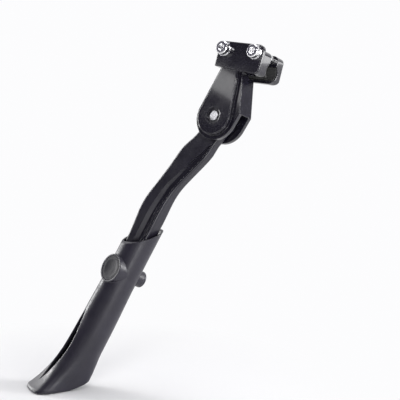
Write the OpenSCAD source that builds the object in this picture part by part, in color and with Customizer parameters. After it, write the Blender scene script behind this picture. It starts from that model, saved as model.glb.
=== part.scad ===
// Clamp-on bicycle side stand with a folding leg and a length-adjustable foot.
// X runs along the chainstay towards the rear wheel's axle, -Y away from the bicycle,
// Z up. The origin is on the chainstay's centre line, in the middle of the clamp.

/* [Clamp] */
// Diameter of the chainstay that the clamp holds
stay_d = 16; // [15:0.5:19]
// Thickness of the rubber liners
liner_t = 1; // [1:0.1:1.5]
// Width of the clamp along the chainstay
jaw_w = 52; // [48:1:60]
// Thickness of the fixed jaw, from its front face to its clamping face
fixed_jaw_t = 17; // [15:0.5:20]
// Thickness of the loose rear jaw
rear_jaw_t = 10; // [9:0.5:12]
// Gap between the two clamping faces on that chainstay
clamp_gap = 10; // [8:0.5:12]
// Height of the fixed jaw at its rear end
jaw_h = 29; // [28:0.5:33]
// How much lower the fixed jaw is at its front end
jaw_taper = 4; // [0:0.5:5]

/* [Clamp bolts] */
// Diameter of the clamp bolts
bolt_d = 8; // [6:1:8]
// Distance between the two clamp bolts
bolt_spacing = 36; // [34:1:38]
// Diameter of a bolt's head
bolt_head_d = 13; // [11:0.5:14]
// Height of a bolt's head
bolt_head_h = 5.6; // [4:0.2:8]
// Width across the flats of the hex socket
bolt_socket = 6; // [4:0.5:6]
// Outer diameter of the washers
washer_d = 14.4; // [14:0.2:16]
// Thickness of the washers
washer_t = 1.2; // [0.8:0.1:2]

/* [Pivot housing] */
// How far the pivot lies below the chainstay's centre line
pivot_drop = 51.5; // [50:0.5:58]
// How far the pivot lies in front of the clamp's middle
pivot_ahead = 13.5; // [10:0.5:16]
// Radius of the housing round the pivot
housing_r = 22.5; // [21:0.5:25]
// Radius of the raised front face round the pivot
face_r = 18.5; // [17:0.5:20]
// How far the raised face stands out
face_rise = 5; // [2:0.5:6]
// Thickness of the cheek behind the raised face
front_cheek_t = 4; // [3:0.5:5]
// Thickness of the back cheek
back_cheek_t = 4; // [3:0.5:5]
// Width of the slot that the leg turns in
slot_w = 12; // [10:0.5:13]
// Width of the neck under the clamp
neck_w = 17; // [14:0.5:20]

/* [Pivot pin] */
// Diameter of the pivot pin
pin_d = 9; // [7:0.5:10]
// Diameter of the pin's flat head at the back
pin_head_d = 14; // [12:0.5:16]
// Diameter of the countersink round the pin's front end
pin_recess_d = 15; // [13:0.5:16]

/* [Leg] */
// Radius of the leg's eye
eye_r = 16; // [15:0.5:17]
// Forward slant of the leg's upper part, in degrees from the clamp's down direction
upper_slant = 32; // [28:1:36]
// Forward slant of the leg's lower part, in degrees
lower_slant = 17; // [12:1:22]
// How far the leg's centre line passes behind the pivot
leg_offset = 4.5; // [2:0.5:5]
// Length of the straight upper part, from the pivot
upper_l = 72; // [60:1:80]
// Radius of the bend between the two parts
bend_r = 170; // [120:5:220]
// Length of the straight lower part
lower_l = 117; // [110:1:125]
// Width of the leg where it leaves the housing
leg_top_w = 27; // [26:0.5:28]
// How much the leg's rear edge is slimmed beside the housing
rear_slim = 2.4; // [2:0.1:3]
// How far the leg's front edge swells out below the housing
front_swell = 4.6; // [0:0.2:5]
// Width of the leg at its waist
leg_waist_w = 18.5; // [17:0.5:20]
// Width of the leg inside the foot
leg_low_w = 22; // [20:0.5:23]
// Thickness of the leg at its waist
leg_waist_t = 10.5; // [9:0.5:12]
// Thickness of the leg inside the foot
leg_low_t = 14.5; // [13:0.5:15.5]
// Thickness of the web between the leg's front and back channels
leg_web_t = 3; // [2.5:0.5:4]
// Outward lean of the whole stand from upright, in degrees
lean = 22; // [12:1:24]

/* [Foot] */
// Distance along the leg from the pivot to the foot's mouth
mouth_s = 137; // [132:1:142]
// Length of the foot from its mouth to the ground, along its axis
foot_l = 165; // [155:1:175]
// Radius of the foot's tube towards its toe and its heel
tube_a = 15.75; // [15:0.25:17]
// Radius of the foot's tube across that
tube_b = 15.25; // [15:0.25:16]
// Wall thickness of the foot
foot_wall = 2.6; // [2:0.1:3.2]
// Reach of the toe from the foot's axis, along the sole
toe_reach = 31; // [26:1:36]
// How much wider the foot grows at each side towards the toe's end
toe_fan = 9; // [4:0.5:11]
// Height of the upright rim round the sole
lip_h = 3.5; // [2.5:0.5:5]
// Slope of the cut that takes off the heel, in degrees
heel_cut = 45; // [35:1:50]
// Slope of the cut across the mouth, in degrees
mouth_slant = 41; // [0:1:45]
// Turn of the toe from straight ahead towards the outside, in degrees
toe_turn = 60; // [45:1:75]
// How far the foot can be drawn out
foot_travel = 45; // [36:9:45]

/* [Length lock] */
// Diameter of the push button
button_d = 24; // [20:0.5:25]
// Thickness of the push button
button_t = 2.4; // [2:0.1:3]
// How far the push button can be pressed
button_travel = 2; // [1.5:0.25:2]
// Turn of the push button's axis towards the front, in degrees
button_turn = 12; // [0:1:14]
// Diameter of the lock pin
lock_pin_d = 5; // [4:0.25:5.5]
// Diameter of the round seats in the leg's scalloped slot
seat_d = 8; // [7:0.25:9]
// Distance between two seats
seat_pitch = 9; // [9:0.5:10]
// Outer diameter of the spring tower at the back
tower_d = 16; // [15:0.5:18]
// Distance along the foot from its mouth to the button
button_below = 40; // [38:1:42]

/* [Hidden] */

$fn = 64;
eps = 0.01;
far = 400;

running_gap = 0.3;
shaft_gap = 0.05;
slide_gap = 0.4;

// Clamp, in its own square frame
seat_r = stay_d/2 + liner_t;
bolt_z = stay_d/2 + bolt_d/2 + 1;
jaw_top = bolt_z + 8;
jaw_bottom = jaw_top - jaw_h;
jaw_corner = 5.5;
fixed_face_y = -clamp_gap/2;
front_y = fixed_face_y - fixed_jaw_t;
rear_face_y = clamp_gap/2;
step_depth = 4.5;
step_drop = 3.5;
heel_round = 9;
bolt_hole_d = bolt_d + 0.6;
thread_gap = 0.1;
bolt_tail = 2;
liner_half_angle = 48;

// Housing
pivot = [-pivot_ahead, -pivot_drop];
slot_back_y = 0;
slot_front_y = slot_back_y - slot_w;
leg_y = (slot_front_y + slot_back_y)/2;
back_y = slot_back_y + back_cheek_t;
cheek_y = slot_front_y - front_cheek_t;
raised_y = cheek_y - face_rise;
neck_z = 1;
neck_left = -pivot_ahead - 2.5;
ledge_z = -stay_d/2 - liner_t - 0.3;
web_corner = [housing_r + 3.5, 5.5];
slot_margin = 0.5;
face_bevel = 1.4;

// Pivot pin and washers
thrust_t = 0.8;
thrust_d = 24;
pin_front_y = raised_y + 1.2;
recess_depth = 2.2;
pin_head_t = 2.4;
pin_washer_t = 1;
pin_washer_d = 18;

// Detent, along a line from the pivot up the neck
detent_tilt = 7;
plunger_d = 7;
plunger_l = 9;
plunger_start = eye_r + 0.3;
notch_depth = 1.4;
detent_wire = 0.9;
detent_turns = 4.5;
plug_l = 5;
fold_angle = 96;
plug_d = 8;

// Leg
leg_eye_t = slot_w - 2*thrust_t - 0.2;
bend_l = bend_r*(upper_slant - lower_slant)*PI/180;
lower_s = upper_l + bend_l;
leg_end_s = lower_s + lower_l;
leg_edge = 2.2;
leg_start_s = 3;
channel_half = 6.6;
channel_side = 0.8;
swell_start_s = 26;
panel_start_s = 22;
panel_depth = 1.8;
panel_low_depth = 3.2;
panel_rim = 2.3;
panel_top_x = 8;
panel_low_x = -3;

// Foot
button_s = mouth_s + button_below;
collar_d = button_d + 4;
collar_y = tube_b + 1.75;
tower_y = tube_b + 5.75;
tower_wall = 2;
tower_floor = leg_low_t/2 + slide_gap + 3.4;
button_face = collar_y - 0.2;
button_floor = button_face - button_t - button_travel - 0.4;
mouth_depth = 16;
guide_l = 100;
land_d = seat_d - 0.8;
land_t = 1.5;
tail_d = 9.4;
tail_t = 1.6;
cap_t = 2;
button_wire = 0.8;
button_turns = 4;
window_l = 82;
window_w = 13;
window_mid = 38;
sole_t = 7;
lock_slot_w = lock_pin_d + 0.8;

function rad(s) = s*PI/180;
function lerp(a, b, t) = a + (b - a)*t;
function smooth(t) = let (u = max(0, min(1, t))) u*u*(3 - 2*u);
function ramp(s, s0, s1) = smooth((s - s0)/(s1 - s0));

// The touching point of a line from q on a circle; side is 1 or -1.
function touch(c, r, q, side) =
    let (d = norm(q - c),
         a = atan2(q[1] - c[1], q[0] - c[0]) + side*acos((r - 0.03)/d))
    c + (r - 0.03)*[cos(a), sin(a)];

// The leg's centre line: how far it slants, and where it is, at length s.
function slant(s) = s < upper_l ? upper_slant
    : s < lower_s ? upper_slant - (s - upper_l)/bend_r*180/PI
    : lower_slant;
function along(a) = [-sin(a), -cos(a)];
function bend_point(a) = upper_l*along(upper_slant)
    + bend_r*[cos(upper_slant) - cos(a), sin(a) - sin(upper_slant)];
function leg_point(s) = pivot + leg_offset*[cos(upper_slant), -sin(upper_slant)]
    + (s < upper_l ? s*along(upper_slant)
    : s < lower_s ? bend_point(slant(s))
    : bend_point(lower_slant) + (s - lower_s)*along(lower_slant));

// The stand as it hangs on an upright bicycle: the square frame leans out.
module as_worn() {
    rotate([-lean, 0, 0]) children();
}

// A flat shape in X and Z, made solid between two Y values.
module slab(y0, y1) {
    translate([0, y1, 0]) rotate([90, 0, 0]) linear_extrude(y1 - y0) children();
}

// A round bar along Y.
module bar(d, y0, y1) {
    translate([0, y1, 0]) rotate([90, 0, 0]) cylinder(d = d, h = y1 - y0);
}

module at_pivot() {
    translate([pivot[0], 0, pivot[1]]) children();
}

module at_bolts() {
    for (side = [-1, 1]) translate([side*bolt_spacing/2, 0, bolt_z]) children();
}

// The foot's own frame: Z up its axis from the sole, Y across the leg, X to the rear.
module at_foot() {
    p = leg_point(mouth_s + foot_l);
    translate([p[0], leg_y, p[1]]) rotate([0, lower_slant, 0]) children();
}

module at_lock() {
    translate([0, 0, foot_l - button_below]) rotate([0, 0, -button_turn]) children();
}

module at_button() {
    at_foot() at_lock() children();
}

module rounded_plate(x0, x1, z0, z1, r) {
    translate([x0 + r, z0]) square([x1 - x0 - 2*r, z1 - z0]);
    translate([x0, z0 + r]) square([x1 - x0, z1 - z0 - 2*r]);
    for (x = [x0 + r, x1 - r], z = [z0 + r, z1 - r]) translate([x, z]) circle(r);
}

// Outline of the fixed jaw's front: its lower edge climbs towards the front end.
module jaw_outline(drop, inset) {
    slope = atan(jaw_taper/jaw_w);
    intersection() {
        rounded_plate(-jaw_w/2 + inset, jaw_w/2 - inset,
            jaw_bottom, jaw_top - drop, jaw_corner);
        translate([jaw_w/2, jaw_bottom]) rotate(-slope)
            translate([-2*jaw_w, 0]) square([3*jaw_w, 2*jaw_h]);
    }
}

// Side outline of the fixed jaw, in Y and Z: its lower back corner is rounded.
module jaw_side() {
    translate([front_y, jaw_bottom - eps])
        square([fixed_jaw_t - heel_round, jaw_h + 1]);
    translate([front_y, jaw_bottom + heel_round])
        square([fixed_jaw_t, jaw_h + 1 - heel_round]);
    translate([fixed_face_y - heel_round, jaw_bottom + heel_round]) circle(heel_round);
}

module along_x(x0, x1) {
    translate([x0, 0, 0]) rotate([90, 0, 90]) linear_extrude(x1 - x0) children();
}

module fixed_jaw() {
    bevel = 1;
    slab(front_y + bevel, front_y + step_depth) jaw_outline(0, 0);
    slab(front_y, front_y + bevel + eps) jaw_outline(bevel*0.7, bevel*0.7);
    intersection() {
        slab(front_y + step_depth - eps, fixed_face_y) jaw_outline(step_drop, 0.6);
        along_x(-jaw_w, jaw_w) jaw_side();
    }
}

// Outline of a cheek: a disc round the pivot, drawn up into the neck.
module cheek_outline(r, grow) {
    c = pivot;
    top_l = [neck_left - grow, neck_z];
    top_r = [neck_left + neck_w + grow*0.4, neck_z];
    polygon([top_l, touch(c, r, top_l, 1), c, touch(c, r, top_r, -1), top_r]);
    translate(c) circle(r);
}

// The cheek with the corner that its rear web ends in.
module web_outline() {
    grow = housing_r - face_r;
    top_r = [neck_left + neck_w + grow*0.4, neck_z];
    corner = pivot + web_corner;
    cheek_outline(housing_r, grow);
    polygon([top_r, corner, touch(pivot, housing_r, corner, -1), pivot]);
}

// What the turning leg needs: the eye's disc, and the sector that the shank sweeps.
module slot_outline() {
    half = leg_top_w/2 - leg_offset + running_gap;
    half_rear = leg_top_w/2 - rear_slim + leg_offset + slot_margin;
    down = along(upper_slant);
    front_n = [-cos(upper_slant), sin(upper_slant)];
    fold_dir = 90 + upper_slant;
    rear = [cos(fold_angle - fold_dir), sin(fold_angle - fold_dir)];
    rear_n = [-rear[1], rear[0]];
    translate(pivot) {
        circle(eye_r + slot_margin);
        polygon([half*front_n, half*front_n + 90*down, [-90, -120], [120, -120],
            half_rear*rear_n + 90*rear, half_rear*rear_n, [0, 0]]);
    }
}

module pivot_housing() {
    color([0.09, 0.09, 0.1]) as_worn() difference() {
        union() {
            fixed_jaw();
            slab(raised_y + face_bevel, cheek_y + eps) cheek_outline(face_r, 0);
            slab(raised_y, raised_y + face_bevel + eps)
                cheek_outline(face_r - face_bevel*0.6, -face_bevel*0.6);
            slab(cheek_y, back_y) web_outline();
        }
        // stay's seat, and the ledge under it
        along_x(-far, far) circle(seat_r);
        translate([-far, fixed_face_y, ledge_z]) cube([2*far, far, far]);
        at_bolts() bar(bolt_hole_d, -far, far);
        slab(slot_front_y, slot_back_y) slot_outline();
        at_pivot() bar(pin_d + 2*shaft_gap, -far, far);
        at_pivot() bar(pin_recess_d, raised_y - eps, raised_y + recess_depth);
        detent_frame() cylinder(d = plunger_d + 2*shaft_gap, h = plug_start() + 1);
        detent_frame() translate([0, 0, plug_start()]) cylinder(d = plug_d, h = plug_l + 3);
    }
}

// Up the neck from the pivot, in the slot's middle plane.
module detent_frame() {
    translate([pivot[0], leg_y, pivot[1]]) rotate([0, detent_tilt, 0]) children();
}

function plug_start() = (pivot_drop + ledge_z)/cos(detent_tilt) - plug_l - 1;

module liner(side) {
    color([0.13, 0.13, 0.13]) as_worn()
        along_x(-jaw_w/2 + 1, jaw_w/2 - 1) intersection() {
            difference() {
                circle(seat_r);
                circle(stay_d/2);
            }
            polygon([[0, 0], 30*[side*cos(liner_half_angle), sin(liner_half_angle)],
                [side*40, 0], 30*[side*cos(liner_half_angle), -sin(liner_half_angle)]]);
        }
}

module housing_liner() {
    liner(-1);
}

module rear_jaw_liner() {
    liner(1);
}

module rear_jaw() {
    back = rear_face_y + rear_jaw_t;
    bottom = -seat_r - 1;
    color([0.1, 0.1, 0.11]) as_worn() difference() {
        intersection() {
            slab(rear_face_y, back)
                rounded_plate(-jaw_w/2, jaw_w/2, bottom, jaw_top - step_drop, jaw_corner);
            along_x(-jaw_w, jaw_w) rounded_plate(rear_face_y - 8, back, bottom, jaw_top, 6);
        }
        along_x(-far, far) circle(seat_r);
        at_bolts() bar(bolt_d + 2*thread_gap, -far, far);
    }
}

module clamp_bolt(side) {
    seat_y = front_y - washer_t;
    end_y = rear_face_y + rear_jaw_t + bolt_tail;
    crown = 0.8;
    color([0.82, 0.82, 0.84]) as_worn() translate([side*bolt_spacing/2, 0, bolt_z])
        difference() {
            union() {
                bar(bolt_head_d, seat_y - bolt_head_h + crown, seat_y);
                translate([0, seat_y - bolt_head_h + crown, 0]) rotate([90, 0, 0])
                    cylinder(d1 = bolt_head_d, d2 = bolt_head_d - 2*crown, h = crown);
                bar(bolt_d, seat_y - eps, end_y);
            }
            translate([0, seat_y - bolt_head_h*0.35, 0]) rotate([90, 30, 0])
                cylinder(d = bolt_socket/cos(30), h = far, $fn = 6);
        }
}

module clamp_bolt_front() {
    clamp_bolt(-1);
}

module clamp_bolt_rear() {
    clamp_bolt(1);
}

module clamp_washer(side) {
    color([0.75, 0.75, 0.77]) as_worn() translate([side*bolt_spacing/2, 0, bolt_z])
        difference() {
            bar(washer_d, front_y - washer_t, front_y);
            bar(bolt_hole_d, -far, far);
        }
}

module clamp_washer_front() {
    clamp_washer(-1);
}

module clamp_washer_rear() {
    clamp_washer(1);
}

module pivot_pin() {
    head_y = back_y + pin_washer_t;
    color([0.8, 0.8, 0.82]) as_worn() at_pivot() {
        bar(pin_d, pin_front_y, head_y + eps);
        bar(pin_head_d, head_y, head_y + pin_head_t);
    }
}

module ring(od, bore, y0, y1) {
    difference() {
        bar(od, y0, y1);
        bar(bore, y0 - 1, y1 + 1);
    }
}

module pin_washer() {
    color([0.7, 0.7, 0.72]) as_worn() at_pivot()
        ring(pin_washer_d, pin_d + 0.4, back_y, back_y + pin_washer_t);
}

module thrust_washer(y0) {
    color([0.9, 0.9, 0.86]) as_worn() at_pivot()
        ring(thrust_d, pin_d + 0.4, y0, y0 + thrust_t);
}

module thrust_washer_front() {
    thrust_washer(slot_front_y);
}

module thrust_washer_back() {
    thrust_washer(slot_back_y - thrust_t);
}

module detent_plunger() {
    r = plunger_d/2;
    nose = 2;
    color([0.78, 0.78, 0.8]) as_worn() detent_frame() translate([0, 0, plunger_start]) {
        translate([0, 0, nose]) cylinder(r = r, h = plunger_l - nose);
        cylinder(r1 = r*0.45, r2 = r, h = nose + eps);
    }
}

// A coil spring as one swept tube, with flat-lying end turns.
module coil(r, wire, turns, height) {
    sides = 6;
    steps = 14;
    n = ceil(turns*steps);
    rings = [for (i = [0:n])
        let (a = 360*i/steps, z = wire/2 + (height - wire)*i/n)
        [for (k = [0:sides - 1])
            let (b = 360*k/sides, q = r + wire/2*cos(b))
            [q*cos(a), q*sin(a), z + wire/2*sin(b)]]];
    tube(rings, sides);
}

// Closes a list of equal rings into one solid.
module tube(rings, m) {
    n = len(rings);
    points = [for (ring = rings) each ring];
    walls = [for (i = [0:n - 2], k = [0:m - 1])
        let (a = i*m + k, b = i*m + (k + 1) % m)
        each [[a, b + m, b], [a, a + m, b + m]]];
    low = [for (k = [0:m - 1]) k];
    high = [for (k = [m - 1:-1:0]) (n - 1)*m + k];
    polyhedron(points, concat(walls, [low, high]), convexity = 8);
}

module detent_spring() {
    start = plunger_start + plunger_l;
    height = plug_start() - start;
    color([0.7, 0.7, 0.7]) as_worn() detent_frame() translate([0, 0, start])
        coil(plunger_d/2 - 0.3 - detent_wire/2, detent_wire, detent_turns, height);
}

module spring_plug() {
    color([0.3, 0.3, 0.32]) as_worn() detent_frame() translate([0, 0, plug_start()])
        difference() {
            cylinder(d = plug_d, h = plug_l);
            translate([0, 0, plug_l - 2.5]) cylinder(d = 4/cos(30), h = 5, $fn = 6);
        }
}

// The leg's width to its rear and its front edge, and its thickness, at length s.
function leg_w(s) = lerp(lerp(leg_top_w, leg_waist_w, ramp(s, 24, 84)),
    leg_low_w, ramp(s, 84, lower_s));
function leg_rear(s) = leg_w(s)/2 - rear_slim*(1 - ramp(s, 20, 36));
function leg_front(s) = leg_w(s)/2
    + front_swell*ramp(s, swell_start_s, 50)*(1 - ramp(s, 96, mouth_s + 15));
function leg_t(s) = lerp(lerp(leg_eye_t, leg_waist_t, ramp(s, 20, 60)),
    leg_low_t, ramp(s, 70, lower_s));

// One quarter of a section's rounding.
function corner(x, y, r, from) = [for (a = [0, 30, 60, 90])
    [x + r*cos(from + a), y + r*sin(from + a)]];

// The recess in the leg's outer face: a blade that widens into a long groove,
// with a low ridge beside it near the foot.
function panel(s, t) =
    let (wl = lerp(0.5, 3.5, ramp(s, 40, 100)),
         wr = lerp(0.5, 1.4, ramp(s, 40, 100)),
         xr = leg_rear(s) - panel_rim,
         fall = max(0, min(1, (s - panel_start_s)/60)),
         xl = min(lerp(panel_top_x, panel_low_x, fall), xr - wl - wr - 0.4),
         d = max(0.02, lerp(panel_depth, panel_low_depth, ramp(s, 40, lower_s))
             *ramp(s, panel_start_s, panel_start_s + 4)),
         m = ramp(s, 70, lower_s),
         x1 = xl + wl, x2 = xr - wr, y = -t + d)
    [[xl, -t], [x1, y], [lerp(x1, x2, 0.3), y],
     [lerp(x1, x2, 0.55), y - 0.6*m*d], [lerp(x1, x2, 0.8), y - 0.6*m*d],
     [x2, y - 0.1*m*d], [xr, -t]];

// The channel in the leg's inner face, from the bend down.
function channel(s, t) =
    let (d = max(0.02, (leg_low_t - leg_web_t)/2*ramp(s, lower_s, lower_s + 12)),
         c = channel_half)
    [[c, t], [c - channel_side, t - d], [-c + channel_side, t - d], [-c, t]];

// The leg's section: a rounded bar with the recess and the channel.
function leg_section(s) =
    let (w = leg_rear(s), v = leg_front(s), t = leg_t(s)/2, r = leg_edge)
    concat(corner(w - r, t - r, r, 0), channel(s, t),
        corner(-v + r, t - r, r, 90), corner(-v + r, -t + r, r, 180),
        panel(s, t), corner(w - r, -t + r, r, 270));

function leg_ring(s) =
    let (p = leg_point(s), a = slant(s))
    [for (q = leg_section(s)) [p[0] + q[0]*cos(a), leg_y + q[1], p[1] - q[0]*sin(a)]];

leg_stations = concat([leg_start_s, 12, 20, panel_start_s, panel_start_s + 2],
    [for (s = [panel_start_s + 4:6:upper_l - 1]) s],
    [for (i = [0:10]) upper_l + bend_l*i/10],
    [lower_s + 6, lower_s + 12, lower_s + 22, mouth_s + 15, leg_end_s - 1.5]);

// The same stations from the leg's end up to its eye.
leg_upwards = [for (i = [len(leg_stations) - 1:-1:0]) leg_stations[i]];

// Row of seats along the lower leg, joined by a narrow slot.
module lock_slot() {
    count = foot_travel/seat_pitch;
    a = lower_slant;
    p = leg_point(button_s);
    translate([p[0], leg_y, p[1]]) rotate([0, a, 0]) rotate([0, 0, -button_turn]) {
        for (i = [0:count]) translate([0, 0, -i*seat_pitch]) bar(seat_d, -far, far);
        translate([-lock_slot_w/2, -far, -count*seat_pitch])
            cube([lock_slot_w, 2*far, count*seat_pitch]);
    }
}

module leg() {
    notch_r = 3;
    color([0.1, 0.1, 0.12]) as_worn() difference() {
        union() {
            tube([for (s = leg_upwards) leg_ring(s)], len(leg_section(0)));
            at_pivot() bar(2*eye_r, leg_y - leg_eye_t/2, leg_y + leg_eye_t/2);
        }
        at_pivot() bar(pin_d + 2*shaft_gap, -far, far);
        for (turn = [0, fold_angle]) at_pivot() rotate([0, detent_tilt + turn, 0])
            translate([0, 0, eye_r + notch_r - notch_depth]) bar(2*notch_r, -far, far);
        lock_slot();
    }
}

// Slopes of the ground in the foot's own frame, with X towards the toe.
up_foot = [-cos(lean)*sin(lower_slant), -sin(lean), cos(lean)*cos(lower_slant)];
toe_a = 180 + toe_turn;
ground_x = -(up_foot[0]*cos(toe_a) + up_foot[1]*sin(toe_a))/up_foot[2];
ground_y = -(-up_foot[0]*sin(toe_a) + up_foot[1]*cos(toe_a))/up_foot[2];

// Foot: half-widths towards the toe and the heel, and how much wider it fans out,
// on the ring that crosses the foot's axis at height h.
function flare(h, deep) = exp(-(max(h, lip_h) - lip_h)/deep);
function toe_base(h) = tube_a + 1.2*ramp(-h, -130, -80);
function toe_half(h) = toe_base(h) + (toe_reach - toe_base(h))*flare(h, 20);
function heel_half(h) = tube_a + 1.4*ramp(-h, -130, -60);
function side_half(h, c) = tube_b + 0.8*ramp(-h, -130, -60) + toe_fan*flare(h, 14)*max(0, c);

// A ring of the foot: level with the ground near the sole, square to the axis above.
function foot_ring(h, shrink, m) =
    let (e = 2/(2 + 1.5*ramp(-h, -40, -8)), level = ramp(-h, -75, -14))
    [for (k = [0:m - 1])
        let (a = 360*k/m, c = cos(a), s = sin(a),
             cx = sign(c)*pow(abs(c), e),
             x = ((c > 0 ? toe_half(h) : heel_half(h)) - shrink)*cx,
             y = (side_half(h, cx) - shrink)*sign(s)*pow(abs(s), e))
        [x, y, h + level*(ground_x*x + ground_y*y)]];

// The rings' heights and insets, from the sole's rounded edge up.
module foot_shell(shrink, levels, m) {
    to_toe() tube([for (v = levels) foot_ring(v[0], shrink + v[1], m)], m);
}

// Turns a foot's piece so that its X points at the toe.
module to_toe() {
    rotate([0, 0, 180 + toe_turn]) children();
}

// What the slanting cut takes off the heel.
module below_heel() {
    to_toe() translate([2, 0, -1]) rotate([0, heel_cut, 0])
        translate([-far, -far, -2*far]) cube([2*far, 2*far, 2*far]);
}

// Everything above the mouth's slanting plane.
module above_mouth() {
    to_toe() translate([0, 0, foot_l]) rotate([0, mouth_slant, 0])
        translate([-far, -far, 0]) cube([2*far, 2*far, far]);
}

// The straight way that guides the leg.
module guide_way() {
    w = leg_low_w/2 + slide_gap;
    t = leg_low_t/2 + slide_gap;
    translate([0, 0, foot_l - guide_l]) linear_extrude(far)
        rounded_plate(-w, w, -t, t, leg_edge);
}

module window() {
    r = (window_l*window_l/4 + window_w*window_w/4)/window_w;
    off = r - window_w/2;
    to_toe() translate([tube_a/2, 0, window_mid]) rotate([90, 0, 90])
        linear_extrude(far) intersection() {
            translate([off, 0]) circle(r, $fn = 128);
            translate([-off, 0]) circle(r, $fn = 128);
        }
}

module foot_sleeve() {
    top = foot_l + tube_a*tan(mouth_slant) + 2;
    outer = concat([[0, 1.2], [0.35, 0.35], [1.2, 0], [lip_h, 0]],
        [for (i = [1:16]) [lerp(lip_h, 96, i*i/256), 0]],
        [[112, 0], [130, 0], [top, 0]]);
    inner = [for (i = [0:8]) [lerp(sole_t, foot_l - guide_l + 6, i/8), 0]];
    color([0.2, 0.2, 0.22]) as_worn() at_foot() difference() {
        union() {
            foot_shell(0, outer, 48);
            at_lock() {
                bar(collar_d, -collar_y, 0);
                bar(tower_d, 0, tower_y);
            }
        }
        below_heel();
        above_mouth();
        guide_way();
        difference() {
            foot_shell(foot_wall, inner, 32);
            translate([0, 0, sole_t]) below_heel();
        }
        window();
        mouth_way();
        at_lock() {
            bar(button_d + 0.6, -far, -button_floor);
            bar(lock_pin_d + 2*shaft_gap, -far, far);
            bar(tower_d - 2*tower_wall, tower_floor, far);
        }
    }
}

// The thin-walled mouth round the leg.
module mouth_way() {
    shrink = foot_wall;
    translate([0, 0, foot_l - mouth_depth]) linear_extrude(far)
        rounded_plate(-tube_a + shrink, tube_a - shrink,
            -tube_b + shrink + 0.6, tube_b - shrink - 0.6, 9);
}

module push_button() {
    face_y = -button_face;
    dish_r = 60;
    color([0.12, 0.12, 0.13]) as_worn() at_button() difference() {
        bar(button_d, face_y, face_y + button_t);
        translate([0, face_y - dish_r + 0.7, 0]) sphere(dish_r, $fn = 96);
    }
}

module lock_pin() {
    start = -button_face + button_t;
    tail_y = tower_floor + 0.2;
    land_y = leg_web_t/2/cos(button_turn) + land_d/2*tan(button_turn) + 0.3;
    color([0.75, 0.75, 0.77]) as_worn() at_button() {
        bar(lock_pin_d, start, tail_y + eps);
        bar(land_d, land_y, land_y + land_t);
        bar(tail_d, tail_y, tail_y + tail_t);
    }
}

module button_spring() {
    start = tower_floor + 0.2 + tail_t;
    color([0.7, 0.7, 0.7]) as_worn() at_button() translate([0, start, 0])
        rotate([-90, 0, 0])
            coil(tail_d/2 - 0.2 - button_wire/2, button_wire, button_turns,
                tower_y - cap_t - start);
}

module spring_cap() {
    bore = tower_d - 2*tower_wall;
    color([0.2, 0.2, 0.22]) as_worn() at_button() {
        bar(tower_d, tower_y, tower_y + cap_t);
        bar(bore - 0.2, tower_y - cap_t, tower_y + eps);
    }
}

pivot_housing();
rear_jaw();
housing_liner();
rear_jaw_liner();
clamp_bolt_front();
clamp_bolt_rear();
clamp_washer_front();
clamp_washer_rear();
pivot_pin();
pin_washer();
thrust_washer_front();
thrust_washer_back();
detent_plunger();
detent_spring();
spring_plug();
leg();
foot_sleeve();
push_button();
lock_pin();
button_spring();
spring_cap();
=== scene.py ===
import math
import bpy
from mathutils import Matrix, Vector


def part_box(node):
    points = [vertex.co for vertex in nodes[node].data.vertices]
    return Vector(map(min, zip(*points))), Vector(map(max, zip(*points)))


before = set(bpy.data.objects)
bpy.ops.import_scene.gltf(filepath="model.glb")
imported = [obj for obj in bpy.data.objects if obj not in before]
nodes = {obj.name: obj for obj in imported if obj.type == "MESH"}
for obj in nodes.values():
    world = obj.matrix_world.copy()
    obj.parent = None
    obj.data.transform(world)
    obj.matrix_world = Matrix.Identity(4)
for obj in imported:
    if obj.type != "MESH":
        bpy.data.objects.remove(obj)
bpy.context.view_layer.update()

# Finishes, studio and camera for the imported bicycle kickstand. Every length is in metres.
# x runs to the bicycle's rear, y towards the wheel, z up.


# ---------------------------------------------------------------- nodes
def material(name):
    """A material with a bare Principled shader: the material, its tree, the shader, the output."""
    m = bpy.data.materials.new(name)
    m.use_nodes = True
    t = m.node_tree
    t.nodes.clear()
    out = t.nodes.new("ShaderNodeOutputMaterial")
    shader = t.nodes.new("ShaderNodeBsdfPrincipled")
    t.links.new(shader.outputs["BSDF"], out.inputs["Surface"])
    return m, t, shader, out


def put(t, kind, **values):
    """Adds a node: in_From_Min=v sets its socket From Min, any other word sets its property."""
    n = t.nodes.new(kind)
    for key, value in values.items():
        if key.startswith("in_"):
            n.inputs[key[3:].replace("_", " ")].default_value = value
        else:
            setattr(n, key, value)
    return n


def noise(t, scale, detail, rough=0.55, stretch=None):
    """Noise in the piece's own space; scale is in features per metre."""
    place = put(t, "ShaderNodeTexCoord").outputs["Object"]
    n = put(t, "ShaderNodeTexNoise", in_Scale=scale, in_Detail=detail, in_Roughness=rough)
    if stretch:
        mapping = put(t, "ShaderNodeMapping", in_Scale=stretch)
        t.links.new(place, mapping.inputs["Vector"])
        place = mapping.outputs["Vector"]
    t.links.new(place, n.inputs["Vector"])
    return n.outputs["Fac"]


def ramp(t, value, stops):
    """Colours by value: each stop is a position and a colour."""
    r = put(t, "ShaderNodeValToRGB")
    elements = r.color_ramp.elements
    for i, (position, color) in enumerate(stops):
        element = elements[i] if i < len(elements) else elements.new(position)
        element.position = position
        element.color = (*color, 1.0)
    t.links.new(value, r.inputs["Fac"])
    return r.outputs["Color"]


def spread(t, value, low, high, start=0.3, end=0.7):
    """Maps start..end onto low..high, and holds the ends."""
    m = put(t, "ShaderNodeMapRange", in_From_Min=start, in_From_Max=end, in_To_Min=low,
            in_To_Max=high)
    t.links.new(value, m.inputs["Value"])
    return m.outputs["Result"]


def calc(t, operation, a, b):
    """A Math node on two values, each a number or a socket."""
    n = put(t, "ShaderNodeMath", operation=operation)
    for socket, value in zip(n.inputs, (a, b)):
        if isinstance(value, bpy.types.NodeSocket):
            t.links.new(value, socket)
        else:
            socket.default_value = value
    return n.outputs["Value"]


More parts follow.
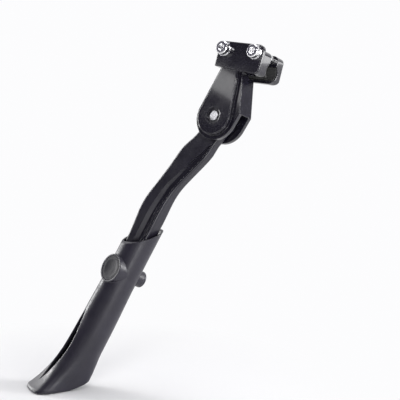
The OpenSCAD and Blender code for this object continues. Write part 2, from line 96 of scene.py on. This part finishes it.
def lay_on(t, under, over, amount):
    """The colour under, with the plain colour over laid on it by amount."""
    n = put(t, "ShaderNodeMixRGB", in_Color2=(*over, 1))
    t.links.new(amount, n.inputs["Fac"])
    t.links.new(under, n.inputs["Color1"])
    return n.outputs["Color"]


def bump(t, height, distance, strength, normal=None):
    b = put(t, "ShaderNodeBump", in_Distance=distance, in_Strength=strength)
    t.links.new(height, b.inputs["Height"])
    if normal is not None:
        t.links.new(normal, b.inputs["Normal"])
    return b.outputs["Normal"]


def rounded(t, radius):
    """The normal with every edge rounded by radius."""
    return put(t, "ShaderNodeBevel", samples=12, in_Radius=radius).outputs["Normal"]


def edge_mask(t, round_normal):
    """1 along an edge, where the rounded normal turns away from the real one."""
    dot = put(t, "ShaderNodeVectorMath", operation="DOT_PRODUCT")
    t.links.new(round_normal, dot.inputs[0])
    t.links.new(put(t, "ShaderNodeNewGeometry").outputs["Normal"], dot.inputs[1])
    return spread(t, calc(t, "SUBTRACT", 1.0, dot.outputs["Value"]), 0.0, 1.0, 0.012, 0.175)


def looked_at(t, mirror_weight=None):
    """1 on camera rays and, times mirror_weight, on the rays that metal and glass send out."""
    path = put(t, "ShaderNodeLightPath").outputs
    mirrored = calc(t, "MAXIMUM", path["Is Glossy Ray"], path["Is Transmission Ray"])
    if mirror_weight is not None:
        mirrored = calc(t, "MULTIPLY", mirrored, mirror_weight)
    return calc(t, "MAXIMUM", path["Is Camera Ray"], mirrored)


# ---------------------------------------------------------------- finishes
# scales of the noises that all finishes share, in features per metre
TONE_PATCHES = 34
METAL_PATCHES = 120
# patches that place the lighter edge colour: worn edges, and also a painted highlight along
# rounded edges
WEAR_AND_HIGHLIGHT_PATCHES = 420
SMUDGES = 90
ORANGE_PEEL = 240
SCRATCHES = 900
DUST = (0.3, 0.3, 0.31)


def paint(name, color, rough, bevel, coat=0.0, peel=0.25, edge=(0.16, 0.155, 0.17),
          edge_amount=0.3, dust=0.04, grain=2600, grain_depth=0.00002, spec=0.5):
    """A sprayed or moulded finish: uneven tone, fine dust, edges lightened partly by wear and
    partly by a painted highlight, smudges and grain.
    """
    m, t, shader, _ = material(name)
    dark = tuple(c * 0.86 for c in color)
    light = tuple(min(1.0, c * 1.16 + 0.002) for c in color)
    tone = ramp(t, noise(t, TONE_PATCHES, 3), [(0.3, dark), (0.7, light)])
    fine = noise(t, grain, 3, 0.6)
    dusty = lay_on(t, tone, DUST, spread(t, fine, 0.0, dust * 3, 0.55, 0.8))
    edges = rounded(t, bevel)
    # the lighter edge colour laid along edges in patches is partly wear and partly a painted
    # highlight standing in for reflections on rounded edges
    wear_and_highlight_here = spread(t, noise(t, WEAR_AND_HIGHLIGHT_PATCHES, 4), 0.0, edge_amount, 0.42, 0.62)
    worn_and_highlit = lay_on(t, dusty, edge, calc(t, "MULTIPLY", edge_mask(t, edges), wear_and_highlight_here))
    t.links.new(worn_and_highlit, shader.inputs["Base Color"])
    smudged = spread(t, noise(t, SMUDGES, 4), rough * 0.82, min(1.0, rough * 1.25))
    t.links.new(smudged, shader.inputs["Roughness"])
    shader.inputs["Specular IOR Level"].default_value = spec
    if coat:
        shader.inputs["Coat Weight"].default_value = coat
        shader.inputs["Coat Roughness"].default_value = 0.06
    grainy = bump(t, fine, grain_depth, peel, edges)
    wavy = bump(t, noise(t, ORANGE_PEEL, 2), 0.00006, 0.25, grainy)
    t.links.new(wavy, shader.inputs["Normal"])
    return m


def metal(name, color, rough, lines=0.4, turned=False):
    """Bright metal with fine scratches, across y where it was turned in a lathe."""
    m, t, shader, _ = material(name)
    dark = tuple(c * 0.85 for c in color)
    tone = ramp(t, noise(t, METAL_PATCHES, 3), [(0.3, dark), (0.7, color)])
    t.links.new(tone, shader.inputs["Base Color"])
    shader.inputs["Metallic"].default_value = 1.0
    along = (1.0, 9.0, 1.0) if turned else (1.0, 1.0, 6.0)
    scratch = noise(t, SCRATCHES, 4, 0.6, along)
    t.links.new(spread(t, scratch, rough * 0.75, rough * 1.3), shader.inputs["Roughness"])
    scratched = bump(t, scratch, 0.00002, lines, rounded(t, 0.0003))
    t.links.new(scratched, shader.inputs["Normal"])
    return m


# each finish's edge colour and amount give worn edges and also painted highlights along rounded
# edges, such as rims and steps
gloss_black = paint("gloss_black", (0.0075, 0.0066, 0.0125), 0.14, 0.0014, coat=0.5, peel=0.08,
                    edge=(0.11, 0.108, 0.13), edge_amount=0.14, dust=0.006)
satin_black = paint("satin_black", (0.0095, 0.0084, 0.0160), 0.32, 0.0005, peel=0.10,
                    edge=(0.05, 0.048, 0.062), edge_amount=0.06, dust=0.006)
sleeve_grey = paint("sleeve_grey", (0.0180, 0.0165, 0.0265), 0.40, 0.0012, peel=0.3,
                    edge=(0.17, 0.165, 0.20), edge_amount=0.5, dust=0.010, grain=1500,
                    grain_depth=0.00004)
button_grey = paint("button_grey", (0.008, 0.0075, 0.0125), 0.50, 0.0005, peel=0.2,
                    edge=(0.10, 0.10, 0.125), edge_amount=0.35, dust=0.006, grain=1500, spec=0.25)
rubber = paint("liner_rubber", (0.02, 0.02, 0.02), 0.75, 0.0003, peel=0.6, grain=1800,
               grain_depth=0.00006)
nylon = paint("washer_nylon", (0.62, 0.61, 0.56), 0.5, 0.0003, dust=0.0)
oxide = paint("black_oxide", (0.03, 0.03, 0.032), 0.4, 0.0003)
chrome = metal("chrome", (0.88, 0.88, 0.89), 0.13)
steel = metal("bright_steel", (0.76, 0.76, 0.78), 0.15, lines=0.2, turned=True)
spring = metal("spring_steel", (0.45, 0.45, 0.47), 0.3)

finish = {
    "pivot_housing": gloss_black, "rear_jaw": gloss_black,
    "housing_liner": rubber, "rear_jaw_liner": rubber,
    "clamp_bolt_front": chrome, "clamp_bolt_rear": chrome,
    "clamp_washer_front": chrome, "clamp_washer_rear": chrome,
    "pivot_pin": steel, "pin_washer": steel,
    "thrust_washer_front": nylon, "thrust_washer_back": nylon,
    "detent_plunger": steel, "detent_spring": spring, "spring_plug": oxide,
    "leg": satin_black, "foot_sleeve": sleeve_grey, "spring_cap": sleeve_grey,
    "push_button": button_grey, "lock_pin": steel, "button_spring": spring,
}
for name, o in nodes.items():
    o.data.materials.clear()
    o.data.materials.append(finish[name])

# ---------------------------------------------------------------- floor
PAPER = (0.975, 0.975, 0.985, 1)        # the backdrop, and what the floor fades into
FLOOR_COLOR = (0.74, 0.74, 0.745, 1)
FLOOR_HALF = 3
SOLE_GAP = 0.0005
FADE_START, FADE_END = 0.07, 0.24       # distances from the middle of the foot

foot_low, foot_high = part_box("foot_sleeve")
floor_z = foot_low[2] - SOLE_GAP
corners = [(-FLOOR_HALF, -FLOOR_HALF, floor_z), (FLOOR_HALF, -FLOOR_HALF, floor_z),
           (FLOOR_HALF, FLOOR_HALF, floor_z), (-FLOOR_HALF, FLOOR_HALF, floor_z)]
floor_mesh = bpy.data.meshes.new("floor")
floor_mesh.from_pydata(corners, [], [(0, 1, 2, 3)])
floor = bpy.data.objects.new("floor", floor_mesh)
bpy.context.scene.collection.objects.link(floor)

floor_paper, ft, matt, floor_out = material("floor_paper")
matt.inputs["Base Color"].default_value = FLOOR_COLOR
matt.inputs["Roughness"].default_value = 0.95
matt.inputs["Specular IOR Level"].default_value = 0.1
ft.links.new(bump(ft, noise(ft, 300, 3), 0.0001, 0.1), matt.inputs["Normal"])
# away from the foot the floor fades into the backdrop, and under the foot it keeps its shadow
where = put(ft, "ShaderNodeNewGeometry")
offset = put(ft, "ShaderNodeVectorMath", operation="DISTANCE")
ft.links.new(where.outputs["Position"], offset.inputs[0])
offset.inputs[1].default_value = ((foot_low[0] + foot_high[0]) / 2,
                                  (foot_low[1] + foot_high[1]) / 2, floor_z)
fade = spread(ft, offset.outputs["Value"], 0.0, 1.0, FADE_START, FADE_END)
# only what is looked at or mirrored fades, so the floor sheds no light of its own on the object
glow = put(ft, "ShaderNodeEmission", in_Color=PAPER, in_Strength=1.0)
blend = put(ft, "ShaderNodeMixShader")
ft.links.new(calc(ft, "MULTIPLY", fade, looked_at(ft)), blend.inputs["Fac"])
ft.links.new(matt.outputs["BSDF"], blend.inputs[1])
ft.links.new(glow.outputs["Emission"], blend.inputs[2])
# from below, the floor is clear, so that the sole can be looked at
clear = put(ft, "ShaderNodeBsdfTransparent")
sided = put(ft, "ShaderNodeMixShader")
ft.links.new(where.outputs["Backfacing"], sided.inputs["Fac"])
ft.links.new(blend.outputs["Shader"], sided.inputs[1])
ft.links.new(clear.outputs["BSDF"], sided.inputs[2])
ft.links.new(sided.outputs["Shader"], floor_out.inputs["Surface"])
floor.data.materials.append(floor_paper)

# ---------------------------------------------------------------- world
# the studio: a bright backdrop behind the stand, a dim room on the camera's side
BACKDROP_WAY = (-0.60, 0.78, 0.10)
ROOM = [(0.0, (0.08, 0.076, 0.095)), (0.45, (0.12, 0.116, 0.145)),
        (0.68, (0.14, 0.136, 0.165)), (0.84, PAPER[:3])]

world = bpy.data.worlds.new("studio")
bpy.context.scene.world = world
world.use_nodes = True
wt = world.node_tree
wt.nodes.clear()
world_out = wt.nodes.new("ShaderNodeOutputWorld")
heading = put(wt, "ShaderNodeTexCoord")
facing = put(wt, "ShaderNodeVectorMath", operation="DOT_PRODUCT")
wt.links.new(heading.outputs["Generated"], facing.inputs[0])
facing.inputs[1].default_value = BACKDROP_WAY
lit = put(wt, "ShaderNodeBackground", in_Strength=1.0)
room = ramp(wt, spread(wt, facing.outputs["Value"], 0.0, 1.0, -1.0, 1.0), ROOM)
wt.links.new(room, lit.inputs["Color"])
seen = put(wt, "ShaderNodeBackground", in_Color=PAPER, in_Strength=1.0)
# metal and glass show the same backdrop where it stands, behind the stand
behind = spread(wt, facing.outputs["Value"], 0.0, 1.0, 0.40, 0.62)
mix = put(wt, "ShaderNodeMixShader")
wt.links.new(looked_at(wt, behind), mix.inputs["Fac"])
wt.links.new(lit.outputs["Background"], mix.inputs[1])
wt.links.new(seen.outputs["Background"], mix.inputs[2])
wt.links.new(mix.outputs["Shader"], world_out.inputs["Surface"])

# ---------------------------------------------------------------- lamps
EYE = Vector((1.14663, -1.54231, 0.26875))      # the camera's place
MIDDLE = Vector((-0.045, -0.06, -0.13))         # the middle of the stand


def lamp(name, place, target, size, watts):
    light = bpy.data.lights.new(name, "AREA")
    light.shape = "RECTANGLE"
    light.size, light.size_y = size
    light.energy = watts
    o = bpy.data.objects.new(name, light)
    bpy.context.scene.collection.objects.link(o)
    o.location = place
    o.visible_camera = False
    o.rotation_euler = (Vector(target) - Vector(place)).to_track_quat("-Z", "Y").to_euler()


def strip(name, spot, normal, distance, size, radiance):
    """A small lamp where the face at spot mirrors it to the camera's place."""
    spot = Vector(spot)
    normal = Vector(normal).normalized()
    to_eye = (EYE - spot).normalized()
    mirror_way = normal * (2 * normal.dot(to_eye)) - to_eye
    watts = radiance * math.pi * size[0] * size[1]
    lamp(name, spot + mirror_way * distance, spot, size, watts)


lamp("key", (0.75, -0.9, 1.15), MIDDLE, (0.4, 0.4), 6)
lamp("rim", (1.1, 0.75, 0.25), MIDDLE, (0.35, 0.9), 20)
lamp("top", (-0.1, 0.35, 1.3), MIDDLE, (0.7, 0.5), 7)
lamp("left", (-1.2, -0.15, 0.0), MIDDLE, (0.25, 0.9), 11)
lamp("side", (1.35, -0.75, -0.02), MIDDLE, (0.12, 0.7), 4)
CHEEK = (0, -0.927, 0.375)                      # the way the leaning front cheek faces
strip("cheek_glow", (-0.014, -0.0262, -0.0090), CHEEK, 0.25, (0.16, 0.024), 3.0)
strip("jaw_end", (0.026, -0.016, 0.019), (1, 0, 0), 0.10, (0.10, 0.018), 4.0)
strip("leg_ridge", (-0.060, -0.070, -0.141), (0.729, -0.684, 0.045), 0.30, (0.04, 0.11), 13.0)
strip("edge_line", (0.007, -0.030, -0.032), (0.66, -0.69, 0.28), 0.30, (0.06, 0.12), 9.0)
strip("pin_glow", (-0.0135, -0.0377, -0.0403), CHEEK, 0.25, (0.008, 0.008), 5.0)

# ---------------------------------------------------------------- camera
RIGHT = Vector((0.78662, 0.61734, 0.01084))
UP = Vector((-0.13271, 0.15191, 0.97944))
BACK = RIGHT.cross(UP)

camera_data = bpy.data.cameras.new("camera")
camera_data.lens = 183.38
camera_data.sensor_width = 36
camera = bpy.data.objects.new("camera", camera_data)
bpy.context.scene.collection.objects.link(camera)
bpy.context.scene.camera = camera
turned_to = Matrix((RIGHT, UP, BACK)).transposed().to_4x4()
camera.matrix_world = Matrix.Translation(EYE) @ turned_to
bpy.context.scene.view_settings.view_transform = "Standard"
